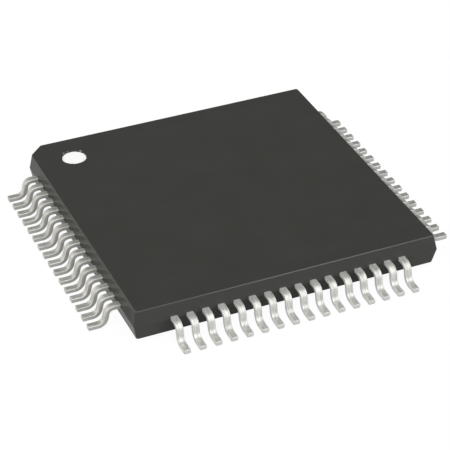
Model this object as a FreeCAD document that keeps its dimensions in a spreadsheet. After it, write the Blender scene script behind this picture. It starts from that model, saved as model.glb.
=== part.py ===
import FreeCAD, Part
import os
import Sketcher

# Thin quad flat pack chip with 64 gull-wing leads, in millimetres.
# +Z is up and the board is at Z = 0. The origin is on the board, under the middle of the body.
# Pin 1 is at the back left. The pins count anticlockwise, seen from above.

SIZES = {
    # Moulded body
    "upper_height": 0.49,      # parting plane to top face
    "lower_height": 0.51,      # parting plane to underside
    "standoff": 0.10,          # air under the moulding
    "corner_margin": 1.25,     # side of the body to the centre of the last lead
    "draft_angle": 11,         # of the walls, both ways from the parting plane
    "pin1_chamfer": 0.50,      # the corner cut off beside pin 1
    "edge_break": 0.04,        # bevel round the top face
    # Marks in the mould
    "dimple_diameter": 0.83,   # pin 1 mark in the top face
    "dimple_depth": 0.05,
    "dimple_side": 1.32,       # its centre from the left side
    "dimple_back": 1.21,       # its centre from the back side
    "ink_thickness": 0.02,     # white ink on the floor of the dimple
    "ink_clearance": 0.01,     # ink to the wall of the dimple
    "ejector_diameter": 1.80,  # ejector pin mark in the underside
    "ejector_depth": 0.05,
    # Gull-wing leads
    "leads_per_side": 16,
    "lead_pitch": 0.50,
    "lead_width": 0.22,
    "lead_thickness": 0.15,    # plating included
    "lead_reach": 1.00,        # side of the body to the tip of the foot
    "shoulder_length": 0.20,   # straight stretch outside the body
    "upper_bend_radius": 0.13, # inside the bend below the shoulder
    "lower_bend_radius": 0.20, # inside the bend above the foot
    "shank_angle": 12,         # of the shank, from upright
    "outer_facets": 3,         # flats that stand for the outside of each bend
    "inner_facets": 2,         # and for its inside
    # Fingers inside the body
    "dam_length": 0.55,        # straight stretch behind the wall
    "tip_length": 0.45,        # straight stretch that takes the wire
    "tip_space": 0.16,         # between neighbouring tips
    "finger_gap": 0.30,        # tips to the die pad
    # Die pad and its tie bars
    "pad_border": 0.70,        # of the pad, round the die
    "pad_downset": 0.22,       # pad below the fingers
    "tie_width": 0.22,
    "tie_gap": 0.12,           # tie bar to the nearest tips
    "tie_cover": 0.15,         # moulding over the end of a tie bar
    "ramp_angle": 35,
    "ramp_start": 0.10,        # flat tie bar outside the pad's corner
    # Die and its attachment
    "die_width": 3.60,
    "die_height": 0.28,
    "attach_thickness": 0.025,
    "attach_fillet": 0.10,     # adhesive outside the die
    # Bond wires
    "wire_diameter": 0.025,
    "wire_loop": 0.15,         # crest above the die
    "bond_inset": 0.12,        # bond pads from the edge of the die
    "bond_corner": 0.225,      # last bond pad from the corner of the die
    "stitch_inset": 0.20,      # end of the wire from the end of the finger
}

LEADS_PER_NODE = 2
WIRES_PER_NODE = 4
SIDES = 4

# Places worked out from the sizes, as expressions in the sheet's aliases
BODY_WIDTH = "((sizes.leads_per_side - 1) * sizes.lead_pitch + 2 * sizes.corner_margin)"
HALF_BODY = f"({BODY_WIDTH} / 2)"
PARTING_HEIGHT = "(sizes.standoff + sizes.lower_height)"
TOP_HEIGHT = f"({PARTING_HEIGHT} + sizes.upper_height)"
FINGER_BOTTOM = f"({PARTING_HEIGHT} - sizes.lead_thickness / 2)"
FINGER_TOP = f"({PARTING_HEIGHT} + sizes.lead_thickness / 2)"
UPPER_BEND = "(sizes.upper_bend_radius + sizes.lead_thickness / 2)"
LOWER_BEND = "(sizes.lower_bend_radius + sizes.lead_thickness / 2)"
BEND_DROP = f"(({UPPER_BEND} + {LOWER_BEND}) * (1 - sin(sizes.shank_angle)))"
SHANK_DROP = f"({PARTING_HEIGHT} - sizes.lead_thickness / 2 - {BEND_DROP})"
FOOT_START = (
    f"(sizes.shoulder_length + ({UPPER_BEND} + {LOWER_BEND}) * cos(sizes.shank_angle)"
    f" + {SHANK_DROP} * tan(sizes.shank_angle))"
)
PAD_WIDTH = "(sizes.die_width + 2 * sizes.pad_border)"
PAD_BOTTOM = f"({FINGER_BOTTOM} - sizes.pad_downset)"
PAD_TOP = f"({PAD_BOTTOM} + sizes.lead_thickness)"
DIE_TOP = f"({PAD_TOP} + sizes.attach_thickness + sizes.die_height)"
TIP_END = f"({PAD_WIDTH} / 2 + sizes.finger_gap)"
TIP_ROW_EDGE = f"({TIP_END} - (sizes.tie_width / 2 + sizes.tie_gap) * sqrt(2))"
TIP_PITCH = f"((2 * {TIP_ROW_EDGE} + sizes.tip_space) / sizes.leads_per_side)"
TIP_WIDTH = f"({TIP_PITCH} - sizes.tip_space)"
BOND_PITCH = "((sizes.die_width - 2 * sizes.bond_corner) / (sizes.leads_per_side - 1))"
DIMPLE_X = f"(sizes.dimple_side - {HALF_BODY})"
DIMPLE_Y = f"({HALF_BODY} - sizes.dimple_back)"
DIMPLE_FLOOR = f"({TOP_HEIGHT} - sizes.dimple_depth)"
NOUGHT = "0 * sizes.standoff"

doc = FreeCAD.newDocument("quad_flat_pack")


def make_sheet():
    """Puts every driving size into the sheet, one row each, under its name."""
    sheet = doc.addObject("Spreadsheet::Sheet", "sizes")
    for row, (name, value) in enumerate(SIZES.items(), start=1):
        sheet.set(f"A{row}", name)
        sheet.set(f"B{row}", str(value))
        sheet.setAlias(f"B{row}", name)
    doc.recompute()
    return sheet


sheet = make_sheet()


def value_of(expression):
    """The number that an expression in the sheet's aliases gives now."""
    return float(sheet.evalExpression(expression))


def from_middle(index):
    """How many pitches a lead or wire lies from the middle of its side."""
    return f"({index} - (sizes.leads_per_side - 1) / 2)"


def new_body(name):
    body = doc.addObject("PartDesign::Body", name)
    body.Label = name
    return body


def place(part, along_x="", along_y="", along_z=""):
    """Binds the parts of an object's position that are given."""
    for axis, expression in (("x", along_x), ("y", along_y), ("z", along_z)):
        if expression:
            part.setExpression(f"Placement.Base.{axis}", expression)


def sketch_on(body, name, role, height=""):
    """An empty sketch on one of the body's own origin planes, raised by height."""
    sketch = body.newObject("Sketcher::SketchObject", name)
    plane = [item for item in body.Origin.OriginFeatures if item.Role == role][0]
    sketch.AttachmentSupport = [(plane, "")]
    sketch.MapMode = "FlatFace"
    if height:
        sketch.setExpression("AttachmentOffset.Base.z", height)
    return sketch


def fix_point(sketch, geometry, end, across, up):
    """Ties a point of the sketch to the sketch's origin, by two expressions."""
    for kind, expression in (("DistanceX", across), ("DistanceY", up)):
        constraint = Sketcher.Constraint(kind, -1, 1, geometry, end, value_of(expression))
        number = sketch.addConstraint(constraint)
        sketch.setExpression(f"Constraints[{number}]", expression)


def draw_outline(sketch, points):
    """A closed outline of straight lines, each corner tied to its pair of expressions."""
    corners = [FreeCAD.Vector(value_of(across), value_of(up), 0) for across, up in points]
    for start, end in zip(corners, corners[1:] + corners[:1]):
        sketch.addGeometry(Part.LineSegment(start, end))
    for number in range(len(corners)):
        following = (number + 1) % len(corners)
        sketch.addConstraint(Sketcher.Constraint("Coincident", number, 2, following, 1))
        fix_point(sketch, number, 1, *points[number])


def draw_circle(sketch, across, up, diameter):
    centre = FreeCAD.Vector(value_of(across), value_of(up), 0)
    normal = FreeCAD.Vector(0, 0, 1)
    sketch.addGeometry(Part.Circle(centre, normal, value_of(diameter) / 2))
    fix_point(sketch, 0, 3, across, up)
    number = sketch.addConstraint(Sketcher.Constraint("Diameter", 0, value_of(diameter)))
    sketch.setExpression(f"Constraints[{number}]", diameter)


def pad(body, name, sketch, length, symmetric=False, downwards=False):
    feature = body.newObject("PartDesign::Pad", name)
    feature.Profile = sketch
    feature.SideType = "Symmetric" if symmetric else "One side"
    feature.Reversed = downwards
    feature.setExpression("Length", length)
    return feature


def pocket(body, name, sketch, depth, upwards=False):
    feature = body.newObject("PartDesign::Pocket", name)
    feature.Profile = sketch
    feature.Reversed = upwards
    feature.setExpression("Length", depth)
    return feature


def names_of(kind, items, is_wanted):
    """The names, such as Edge3, of the edges or faces that the test picks."""
    return [f"{kind}{number}" for number, item in enumerate(items, start=1) if is_wanted(item)]


def draft_walls(body, name, neutral_height, angle, downwards):
    """Leans the upright faces of the body so far inwards, away from the neutral height."""
    doc.recompute()
    base = body.Tip
    level = value_of(neutral_height)
    half_height = base.Shape.BoundBox.ZLength / 2

    def is_wall(face):
        return face.BoundBox.ZLength > half_height

    def is_neutral(face):
        return not is_wall(face) and abs(face.CenterOfMass.z - level) < half_height

    feature = body.newObject("PartDesign::Draft", name)
    feature.Base = (base, names_of("Face", base.Shape.Faces, is_wall))
    feature.NeutralPlane = (base, names_of("Face", base.Shape.Faces, is_neutral))
    feature.Reversed = downwards
    feature.setExpression("Angle", angle)
    return feature


def bevel(body, name, size, is_wanted):
    """Bevels the edges of the body so far that the test picks."""
    doc.recompute()
    base = body.Tip
    feature = body.newObject("PartDesign::Chamfer", name)
    feature.Base = (base, names_of("Edge", base.Shape.Edges, is_wanted))
    feature.setExpression("Size", size)
    return feature


def make_mould_half(name, height, downwards):
    """One half of the moulding: the parting outline, drawn in by the draft of its walls."""
    body = new_body(name)
    outline = sketch_on(body, f"{name}_outline", "XY_Plane", PARTING_HEIGHT)
    cut = f"({HALF_BODY} - sizes.pin1_chamfer)"
    draw_outline(outline, [
        (f"-{HALF_BODY}", f"-{HALF_BODY}"),
        (HALF_BODY, f"-{HALF_BODY}"),
        (HALF_BODY, HALF_BODY),
        (f"-{cut}", HALF_BODY),
        (f"-{HALF_BODY}", cut),
    ])
    pad(body, f"{name}_pad", outline, height, downwards=downwards)
    draft_walls(body, f"{name}_draft", PARTING_HEIGHT, "sizes.draft_angle", downwards)
    return body


def make_upper_half():
    body = make_mould_half("upper_half", "sizes.upper_height", downwards=False)
    middle = value_of(f"{PARTING_HEIGHT} + sizes.upper_height / 2")
    bevel(body, "top_bevel", "sizes.edge_break", lambda edge: edge.BoundBox.ZMin > middle)
    dimple = sketch_on(body, "dimple_outline", "XY_Plane", TOP_HEIGHT)
    draw_circle(dimple, DIMPLE_X, DIMPLE_Y, "sizes.dimple_diameter")
    pocket(body, "pin1_dimple", dimple, "sizes.dimple_depth")
    return body


def make_lower_half():
    body = make_mould_half("lower_half", "sizes.lower_height", downwards=True)
    ejector = sketch_on(body, "ejector_outline", "XY_Plane", "sizes.standoff")
    draw_circle(ejector, NOUGHT, NOUGHT, "sizes.ejector_diameter")
    pocket(body, "ejector_mark", ejector, "sizes.ejector_depth", upwards=True)
    return body


def draw_finger_outline(sketch, index):
    """The finger from above: straight behind the wall, aslant, then straight at its tip."""
    dam_end = "(-sizes.dam_length)"
    tip_start = f"({TIP_END} + sizes.tip_length - {HALF_BODY})"
    tip_end = f"({TIP_END} - {HALF_BODY})"
    aside = f"({from_middle(index)} * ({TIP_PITCH} - sizes.lead_pitch))"
    half_lead = "sizes.lead_width / 2"
    half_tip = f"{TIP_WIDTH} / 2"
    draw_outline(sketch, [
        (NOUGHT, half_lead),
        (dam_end, half_lead),
        (tip_start, f"{aside} + {half_tip}"),
        (tip_end, f"{aside} + {half_tip}"),
        (tip_end, f"{aside} - {half_tip}"),
        (tip_start, f"{aside} - {half_tip}"),
        (dam_end, f"-{half_lead}"),
        (NOUGHT, f"-{half_lead}"),
    ])


def bend(centre, radius, facets, outwards, from_shank):
    """Points along one face of a bend, which turns from flat to the slope of the shank."""
    steps = range(facets, -1, -1) if from_shank else range(facets + 1)
    points = []
    for step in steps:
        turn = f"((90 - sizes.shank_angle) * {step} / {facets})"
        across = f"{centre[0]} {outwards} {radius} * sin({turn})"
        up = f"{centre[1]} {outwards} {radius} * cos({turn})"
        points.append((across, up))
    return points


def draw_wing_side(sketch):
    """The bent strip from the side: shoulder, bend, shank, bend and foot, then back underneath."""
    upper_inside = ("sizes.upper_bend_radius", SIZES["inner_facets"])
    upper_outside = ("(sizes.upper_bend_radius + sizes.lead_thickness)", SIZES["outer_facets"])
    lower_inside = ("sizes.lower_bend_radius", SIZES["inner_facets"])
    lower_outside = ("(sizes.lower_bend_radius + sizes.lead_thickness)", SIZES["outer_facets"])
    upper = ("sizes.shoulder_length", f"({PARTING_HEIGHT} - {UPPER_BEND})")
    lower = (FOOT_START, "(sizes.lower_bend_radius + sizes.lead_thickness)")
    draw_outline(
        sketch,
        [(NOUGHT, FINGER_TOP)]
        + bend(upper, *upper_outside, "+", from_shank=False)
        + bend(lower, *lower_inside, "-", from_shank=True)
        + [("sizes.lead_reach", "sizes.lead_thickness"), ("sizes.lead_reach", NOUGHT)]
        + bend(lower, *lower_outside, "-", from_shank=False)
        + bend(upper, *upper_inside, "+", from_shank=True)
        + [(NOUGHT, FINGER_BOTTOM)],
    )


def make_lead(index):
    """One lead of the right side, counted from the front: its finger and its gull wing."""
    number = f"{index + 1:02d}"
    body = new_body(f"lead_{number}")
    place(body, along_x=HALF_BODY, along_y=f"{from_middle(index)} * sizes.lead_pitch")
    finger = sketch_on(body, f"finger_outline_{number}", "XY_Plane", FINGER_BOTTOM)
    draw_finger_outline(finger, index)
    pad(body, f"finger_{number}", finger, "sizes.lead_thickness")
    wing = sketch_on(body, f"wing_side_{number}", "XZ_Plane")
    draw_wing_side(wing)
    pad(body, f"wing_{number}", wing, "sizes.lead_width", symmetric=True)
    return body


def make_die_pad():
    """The pad and its four tie bars, drawn with the first bar along X and then turned 45 degrees."""
    body = new_body("die_pad")
    body.Placement.Rotation = FreeCAD.Rotation(FreeCAD.Vector(0, 0, 1), 45)
    corner = f"({PAD_WIDTH} / sqrt(2))"
    flag = sketch_on(body, "flag_outline", "XY_Plane", PAD_BOTTOM)
    draw_outline(flag, [
        (corner, NOUGHT),
        (NOUGHT, corner),
        (f"-{corner}", NOUGHT),
        (NOUGHT, f"-{corner}"),
    ])
    pad(body, "flag", flag, "sizes.lead_thickness")

    inner = f"({corner} - sizes.tie_width)"
    ramp_foot = f"({corner} + sizes.ramp_start)"
    ramp_head = f"({ramp_foot} + sizes.pad_downset / tan(sizes.ramp_angle))"
    outer = f"(({BODY_WIDTH} - sizes.pin1_chamfer) / sqrt(2) - sizes.tie_cover)"
    back = "sizes.lead_thickness * tan(sizes.ramp_angle / 2)"
    side = sketch_on(body, "tie_bar_side", "XZ_Plane")
    draw_outline(side, [
        (inner, PAD_BOTTOM),
        (ramp_foot, PAD_BOTTOM),
        (ramp_head, FINGER_BOTTOM),
        (outer, FINGER_BOTTOM),
        (outer, FINGER_TOP),
        (f"{ramp_head} - {back}", FINGER_TOP),
        (f"{ramp_foot} - {back}", PAD_TOP),
        (inner, PAD_TOP),
    ])
    bar = pad(body, "tie_bar", side, "sizes.tie_width", symmetric=True)
    doc.recompute()
    bars = body.newObject("PartDesign::PolarPattern", "tie_bars")
    bars.Originals = [bar]
    axis = [item for item in body.Origin.OriginFeatures if item.Role == "Z_Axis"][0]
    bars.Axis = (axis, [""])
    bars.Angle = 360
    bars.Occurrences = SIDES
    body.Tip = bars
    return body


def make_slab(name, width, height, bottom):
    """A square flat block centred over the origin."""
    slab = doc.addObject("Part::Box", name)
    slab.Label = name
    slab.setExpression("Length", width)
    slab.setExpression("Width", width)
    slab.setExpression("Height", height)
    place(slab, f"-{width} / 2", f"-{width} / 2", bottom)
    return slab


def make_wire(index):
    """One bond wire of the right side: up from the die, over its crest and down to the finger."""
    number = f"{index + 1:02d}"
    body = new_body(f"wire_{number}")
    start_x = "(sizes.die_width / 2 - sizes.bond_inset)"
    run_x = f"({TIP_END} + sizes.stitch_inset - {start_x})"
    run_y = f"({from_middle(index)} * ({TIP_PITCH} - {BOND_PITCH}))"
    place(body, along_x=start_x, along_y=f"{from_middle(index)} * {BOND_PITCH}")
    body.setExpression("Placement.Rotation.Angle", f"atan({run_y} / {run_x})")
    run = f"sqrt({run_x} * {run_x} + {run_y} * {run_y})"
    thick = "sizes.wire_diameter"
    crest = f"({DIE_TOP} + sizes.wire_loop)"
    wedge = f"({thick} * {run} / ({crest} - {FINGER_TOP}))"
    side = sketch_on(body, f"wire_side_{number}", "XZ_Plane")
    draw_outline(side, [
        (f"-{thick} / 2", DIE_TOP),
        (f"{thick} / 2", DIE_TOP),
        (f"{thick} / 2", f"{crest} - {thick}"),
        (f"{run} - {wedge}", FINGER_TOP),
        (run, FINGER_TOP),
        (f"-{thick} / 2", crest),
    ])
    pad(body, f"wire_pad_{number}", side, thick, symmetric=True)
    return body


def make_ink_dot():
    dot = doc.addObject("Part::Cylinder", "pin1_ink_dot")
    dot.Label = "pin1_ink_dot"
    dot.setExpression("Radius", "sizes.dimple_diameter / 2 - sizes.ink_clearance")
    dot.setExpression("Height", "sizes.ink_thickness")
    place(dot, DIMPLE_X, DIMPLE_Y, DIMPLE_FLOOR)
    return dot


def place_round_the_body(pieces, family, per_node):
    """Groups the right side's pieces by number and turns a copy of each group to every side."""
    nodes = []
    upright = FreeCAD.Vector(0, 0, 1)
    for side in range(SIDES):
        turn = FreeCAD.Rotation(upright, 180 + 360 / SIDES * side)
        for first in range(0, len(pieces), per_node):
            group = pieces[first:first + per_node]
            low = side * len(pieces) + first + 1
            name = f"{family}_{low:02d}_{low + len(group) - 1:02d}"
            node = doc.addObject("Part::Compound", name)
            node.Label = name
            node.Links = group
            node.Placement = FreeCAD.Placement(FreeCAD.Vector(), turn)
            nodes.append(node)
    return nodes


def make_moulded_body(pieces_inside):
    """Both halves of the moulding as one, with the room for the pieces inside cut out of it."""
    blank = doc.addObject("Part::Fuse", "moulding_blank")
    blank.Base = make_upper_half()
    blank.Tool = make_lower_half()
    blank.Refine = False
    inside = doc.addObject("Part::MultiFuse", "everything_inside")
    inside.Shapes = pieces_inside
    inside.Refine = False
    moulded = doc.addObject("Part::Cut", "moulded_body")
    moulded.Label = "moulded_body"
    moulded.Base = blank
    moulded.Tool = inside
    moulded.Refine = False
    return moulded


def check_and_write(nodes):
    """Stops if anything failed, and writes each node's shape to its own file."""
    failed = [item.Label for item in doc.Objects if "Invalid" in item.State or "Error" in item.State]
    if failed:
        raise RuntimeError("These failed: " + ", ".join(failed))
    os.makedirs("parts", exist_ok=True)
    for node in nodes:
        if node.Shape.isNull() or not node.Shape.isValid():
            raise RuntimeError(node.Label + " has no valid shape")
        node.Shape.exportStep(os.path.join("parts", node.Label + ".step"))


leads = [make_lead(index) for index in range(SIZES["leads_per_side"])]
wires = [make_wire(index) for index in range(SIZES["leads_per_side"])]
die_pad = make_die_pad()
attach_width = "(sizes.die_width + 2 * sizes.attach_fillet)"
die_attach = make_slab("die_attach", attach_width, "sizes.attach_thickness", PAD_TOP)
die = make_slab("die", "sizes.die_width", "sizes.die_height", f"{PAD_TOP} + sizes.attach_thickness")
ink_dot = make_ink_dot()
lead_nodes = place_round_the_body(leads, "leads", LEADS_PER_NODE)
wire_nodes = place_round_the_body(wires, "bond_wires", WIRES_PER_NODE)
buried = [die_pad, die_attach, die] + lead_nodes + wire_nodes
moulded_body = make_moulded_body(buried)
doc.recompute()
check_and_write([moulded_body, ink_dot] + buried)
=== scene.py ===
import math

import bpy
import numpy as np
from mathutils import Matrix, Vector


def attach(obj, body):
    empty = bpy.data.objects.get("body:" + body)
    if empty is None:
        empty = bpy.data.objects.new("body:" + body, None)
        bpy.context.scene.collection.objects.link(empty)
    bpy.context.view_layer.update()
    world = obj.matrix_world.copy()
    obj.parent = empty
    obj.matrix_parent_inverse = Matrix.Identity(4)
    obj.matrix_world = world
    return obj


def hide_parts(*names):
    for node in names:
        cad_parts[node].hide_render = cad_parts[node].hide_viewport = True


# Quad flat pack chip with gull-wing leads: the looks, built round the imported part.
# Numbers in the dictionaries are millimetres and degrees unless a note says otherwise. Scales
# of patches and grain are per metre.
# The pins count anticlockwise from the back left, so side 0 is the left one.

metresPerMm = 0.001
sideCount = 4
leadsPerSide = 16
leadsPerNode = 2
wiresPerNode = 4


# Building blocks for every surface


def addObject(name, data):
    thing = bpy.data.objects.new(name, data)
    bpy.context.scene.collection.objects.link(thing)
    return thing


# The faces of one closed skin: rings of points, each ring joined to the next, with a fan of
# triangles from the first ring to a point at the start and another fan at the end.
def skinFaces(ringCount, pointCount):
    here = np.arange(pointCount)
    after = (here + 1) % pointCount
    ring = np.arange(ringCount - 1)[:, None] * pointCount
    quads = np.stack([ring + here, ring + after,
                      ring + pointCount + after, ring + pointCount + here], -1)
    startPole = ringCount * pointCount
    last = startPole - pointCount
    startFan = np.stack([np.full(pointCount, startPole), after, here], -1)
    endFan = np.stack([np.full(pointCount, startPole + 1), last + here, last + after], -1)
    return quads.reshape(-1, 4), np.concatenate([startFan, endFan])


# The size of the space inside a closed skin, counted positive when its faces point outwards:
# a sixth of the sum, over all triangles, of corner dot (corner cross corner).
def enclosedVolume(points, quads, fans):
    halves = np.concatenate([quads[:, [0, 1, 2]], quads[:, [0, 2, 3]], fans])
    first, second, third = points[halves].transpose(1, 0, 2)
    return float(np.sum(first * np.cross(second, third))) / 6


# The pattern's place at each corner of a row of faces: how far along and around the skin it is.
def cornerUvs(corners, shape):
    pairs = [np.stack([np.broadcast_to(along, shape), np.broadcast_to(around, shape)], -1)
             for along, around in corners]
    return np.stack(pairs, -2).reshape(-1, 2)


# Makes one object from several closed skins. Each skin is a dictionary with its rings of points
# in millimetres, its two poles, and how far along and around each point is. Its marks are named
# numbers for every ring point, then for the two poles, read by a material.
def makePiece(name, skins, material, replacedNodes):
    allPoints, allQuads, allFans = [], [], []
    quadUvs, fanUvs = [], []
    allMarks = {}
    firstIndex = 0
    for skin in skins:
        rings = np.asarray(skin["rings"], float)
        along = np.asarray(skin["along"], float)
        around = np.asarray(skin["around"], float)
        poles = [skin["startPole"], skin["endPole"]]
        points = np.concatenate([rings.reshape(-1, 3), poles])
        ringCount, pointCount = rings.shape[:2]
        quads, fans = skinFaces(ringCount, pointCount)
        marks = skin.get("marks", {})
        if enclosedVolume(points, quads, fans) < 0:
            rings = rings[:, ::-1]
            around = around[::-1]
            points = np.concatenate([rings.reshape(-1, 3), poles])
            marks = {key: (values[:, ::-1], ends) for key, (values, ends) in marks.items()}
        for key, (values, ends) in marks.items():
            allMarks.setdefault(key, []).append(np.concatenate([values.ravel(), ends]))
        lower, upper = along[:-1, None], along[1:, None]
        left, right = around[None, :-1], around[None, 1:]
        ribbon = [(lower, left), (lower, right), (upper, right), (upper, left)]
        quadUvs.append(cornerUvs(ribbon, (ringCount - 1, pointCount)))
        here, after = around[:-1], around[1:]
        middle = (here + after) / 2
        start, end = along[0], along[-1]
        fanUvs.append(cornerUvs([(start, middle), (start, after), (start, here)], (pointCount,)))
        fanUvs.append(cornerUvs([(end, middle), (end, here), (end, after)], (pointCount,)))
        allPoints.append(points)
        allQuads.append(quads + firstIndex)
        allFans.append(fans + firstIndex)
        firstIndex += len(points)
    mesh = bpy.data.meshes.new(name)
    vertices = np.concatenate(allPoints) * metresPerMm
    faces = np.concatenate(allQuads).tolist() + np.concatenate(allFans).tolist()
    mesh.from_pydata(vertices.tolist(), [], faces)
    strip = mesh.uv_layers.new(name="strip")
    uvs = np.concatenate(quadUvs + fanUvs)
    strip.data.foreach_set("uv", uvs.astype(np.float32).ravel())
    for key, values in allMarks.items():
        mark = mesh.attributes.new(key, "FLOAT", "POINT")
        mark.data.foreach_set("value", np.concatenate(values).astype(np.float32))
    mesh.polygons.foreach_set("use_smooth", np.ones(len(faces), bool))
    mesh.update()
    mesh.materials.append(material)
    piece = addObject(name, mesh)
    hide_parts(*replacedNodes)
    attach(piece, "root")


# Turns points about the upright axis, by quarter turns, from the right side to another side:
# x and y are mixed by the turn's cosine and sine.
def turnToSide(points, side):
    angle = math.radians(180 + 90 * side)
    turn = np.array([[math.cos(angle), -math.sin(angle), 0],
                     [math.sin(angle), math.cos(angle), 0],
                     [0, 0, 1]])
    return points @ turn.T


# Materials


# The node tree of a material or a world, emptied
def emptyTree(owner):
    owner.use_nodes = True
    owner.node_tree.nodes.clear()
    return owner.node_tree


# Adds a node with its settings. Each of its sockets is given a plain value or another node's
# socket, which is joined to it. It gives back the sockets that come out of the node.
def addNode(tree, kind, sockets, **settings):
    node = tree.nodes.new("ShaderNode" + kind)
    for setting, value in settings.items():
        setattr(node, setting, value)
    for socket, value in sockets.items():
        if isinstance(value, bpy.types.NodeSocket):
            tree.links.new(value, node.inputs[socket])
        else:
            node.inputs[socket].default_value = value
    return node.outputs


# One sum on plain values or sockets
def maths(tree, operation, *values):
    return addNode(tree, "Math", dict(enumerate(values)), operation=operation)["Value"]


# A material with its shader and a few short ways to add and join nodes
class Finish:
    def __init__(self, name, **constants):
        self.material = bpy.data.materials.new(name)
        self.tree = emptyTree(self.material)
        self.shader = self.tree.nodes.new("ShaderNodeBsdfPrincipled")
        addNode(self.tree, "OutputMaterial", {"Surface": self.shader.outputs["BSDF"]})
        for socket, value in constants.items():
            self.shader.inputs[socket].default_value = value

    def paint(self, socket, source):
        self.tree.links.new(source, self.shader.inputs[socket])

    def coordinates(self, kind, scale):
        place = addNode(self.tree, "TexCoord", {})
        return addNode(self.tree, "Mapping", {"Vector": place[kind], "Scale": scale})["Vector"]

    def noise(self, vector, scale, detail):
        sockets = {"Vector": vector, "Scale": scale, "Detail": detail}
        return addNode(self.tree, "TexNoise", sockets)["Fac"]

    def patches(self, vector, scale):
        return self.noise(vector, scale, 3)

    def grain(self, vector, scale):
        return self.noise(vector, scale, 2)

    def attribute(self, name):
        return addNode(self.tree, "Attribute", {}, attribute_name=name)["Fac"]

    def sum(self, first, second):
        return maths(self.tree, "ADD", first, second)

    # Stretches a value of 0 to 1 over a range
    def spread(self, value, low, high):
        sockets = {"Value": value, "To Min": low, "To Max": high}
        return addNode(self.tree, "MapRange", sockets)["Result"]

    # Turns a value into a colour: the first tone up to the span's start, the last from its end
    def ramp(self, value, span, firstTone, lastTone):
        curve = self.tree.nodes.new("ShaderNodeValToRGB")
        tones = (firstTone, lastTone)
        for element, position, tone in zip(curve.color_ramp.elements, span, tones):
            element.position = position
            element.color = (*tone, 1)
        self.tree.links.new(value, curve.inputs["Fac"])
        return curve.outputs["Color"]

    def blendTowards(self, source, colour, amount):
        sockets = {"A": source, "B": (*colour, 1), "Factor": amount}
        return addNode(self.tree, "Mix", sockets, data_type="RGBA")["Result"]

    # A spot at a place on the object: full inside its core, fading out to nothing at its size
    def spot(self, vector, place, size, core, strength):
        centre = [value * metresPerMm for value in place]
        span = addNode(self.tree, "VectorMath", {0: vector, 1: centre}, operation="DISTANCE")
        sockets = {"Value": span["Value"], "From Min": size * metresPerMm,
                   "From Max": core * size * metresPerMm, "To Max": strength}
        return addNode(self.tree, "MapRange", sockets)["Result"]

    def bump(self, height, strength, depth):
        sockets = {"Height": height, "Strength": strength, "Distance": depth * metresPerMm}
        self.paint("Normal", addNode(self.tree, "Bump", sockets)["Normal"])


mouldingLook = {
    "ior": 1.38,
    "darkTone": (0.0415, 0.0415, 0.0385),
    "lightTone": (0.0465, 0.0465, 0.0435),
    "mottleSpan": (0.3, 0.7),  # of the mottle's noise, from dark to light
    "edgeHighlightTone": (0.098, 0.098, 0.094),  # painted highlight along the front edge of the top face
    "shadeBetweenLeadsTone": (0.028, 0.028, 0.026),  # painted shade of the wall under the parting line, between the leads
    # Specks of ink on the far rim of the dimple: degrees round it, size and strength
    "specks": ((40, 0.055, 0.40), (124, 0.05, 0.30), (101, 0.04, 0.12)),
    "speckCore": 0.3,  # share of its size at which a speck is full
    "speckTone": (0.80, 0.80, 0.79),
    "mottleScale": 900,  # soft patches about a millimetre across
    "grainScale": 26000,  # the spark-eroded grain of the mould
    "grainDepth": 0.004,
    "grainStrength": 0.25,
    "roughest": 0.36,
    "smoothest": 0.28,
    "wallRoughness": 0.18,  # the walls come out of the mould smoother than the top
}


def mouldingFinish():
    look = mouldingLook
    finish = Finish("satinMouldingCompound", IOR=look["ior"])
    where = finish.coordinates("Object", (1, 1, 1))
    mottle = finish.patches(where, look["mottleScale"])
    grain = finish.grain(where, look["grainScale"])
    tone = finish.ramp(mottle, look["mottleSpan"], look["darkTone"], look["lightTone"])
    # Painted highlight on the bevel along the front top edge
    tone = finish.blendTowards(tone, look["edgeHighlightTone"], finish.attribute("frontEdgeHighlight"))
    # Painted shade on the wall under the parting line, between the leads
    tone = finish.blendTowards(tone, look["shadeBetweenLeadsTone"], finish.attribute("shadeBetweenLeads"))
    (centreX, centreY), radius = mould["dimpleCentre"], mould["dimpleRadius"]
    for degrees, size, strength in look["specks"]:
        angle = math.radians(degrees)
        speck = (centreX + radius * math.cos(angle), centreY + radius * math.sin(angle),
                 mould["topHeight"])
        spot = finish.spot(where, speck, size, look["speckCore"], strength)
        tone = finish.blendTowards(tone, look["speckTone"], spot)
    finish.paint("Base Color", tone)
    satin = finish.spread(grain, look["smoothest"], look["roughest"])
    sockets = {"A": satin, "B": look["wallRoughness"], "Factor": finish.attribute("smoothWall")}
    finish.paint("Roughness", addNode(finish.tree, "Mix", sockets)["Result"])
    finish.bump(grain, look["grainStrength"], look["grainDepth"])
    return finish.material


inkLook = {
    "dullTone": (0.95, 0.95, 0.945),
    "brightTone": (0.98, 0.98, 0.98),
    "toneSpan": (0.2, 0.55),  # of the patches' noise, from the dull to the bright tone
    "patchScale": 5000,
    "grainScale": 30000,
    "grainDepth": 0.002,
    "grainStrength": 0.2,
    "roughest": 0.7,
    "smoothest": 0.55,
}

copperLook = {
    "dullTone": (0.70, 0.38, 0.25),
    "brightTone": (0.82, 0.50, 0.34),
    "toneSpan": (0.3, 0.7),
    "patchScale": 3000,
    "grainScale": 36000,
    "grainDepth": 0.003,
    "grainStrength": 0.2,
    "roughest": 0.45,
    "smoothest": 0.3,
}

goldLook = copperLook | {
    "dullTone": (0.90, 0.68, 0.26),
    "brightTone": (1.0, 0.78, 0.36),
    "patchScale": 20000,
    "grainScale": 240000,
    "roughest": 0.25,
    "smoothest": 0.15,
}

adhesiveLook = {
    "dullTone": (0.5, 0.5, 0.48),
    "brightTone": (0.68, 0.68, 0.66),
    "toneSpan": (0.3, 0.7),
    "patchScale": 40000,  # silver flakes, which are its grain too
    "grainDepth": 0.004,
    "grainStrength": 0.3,
    "roughest": 0.65,
    "smoothest": 0.4,
}


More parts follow.
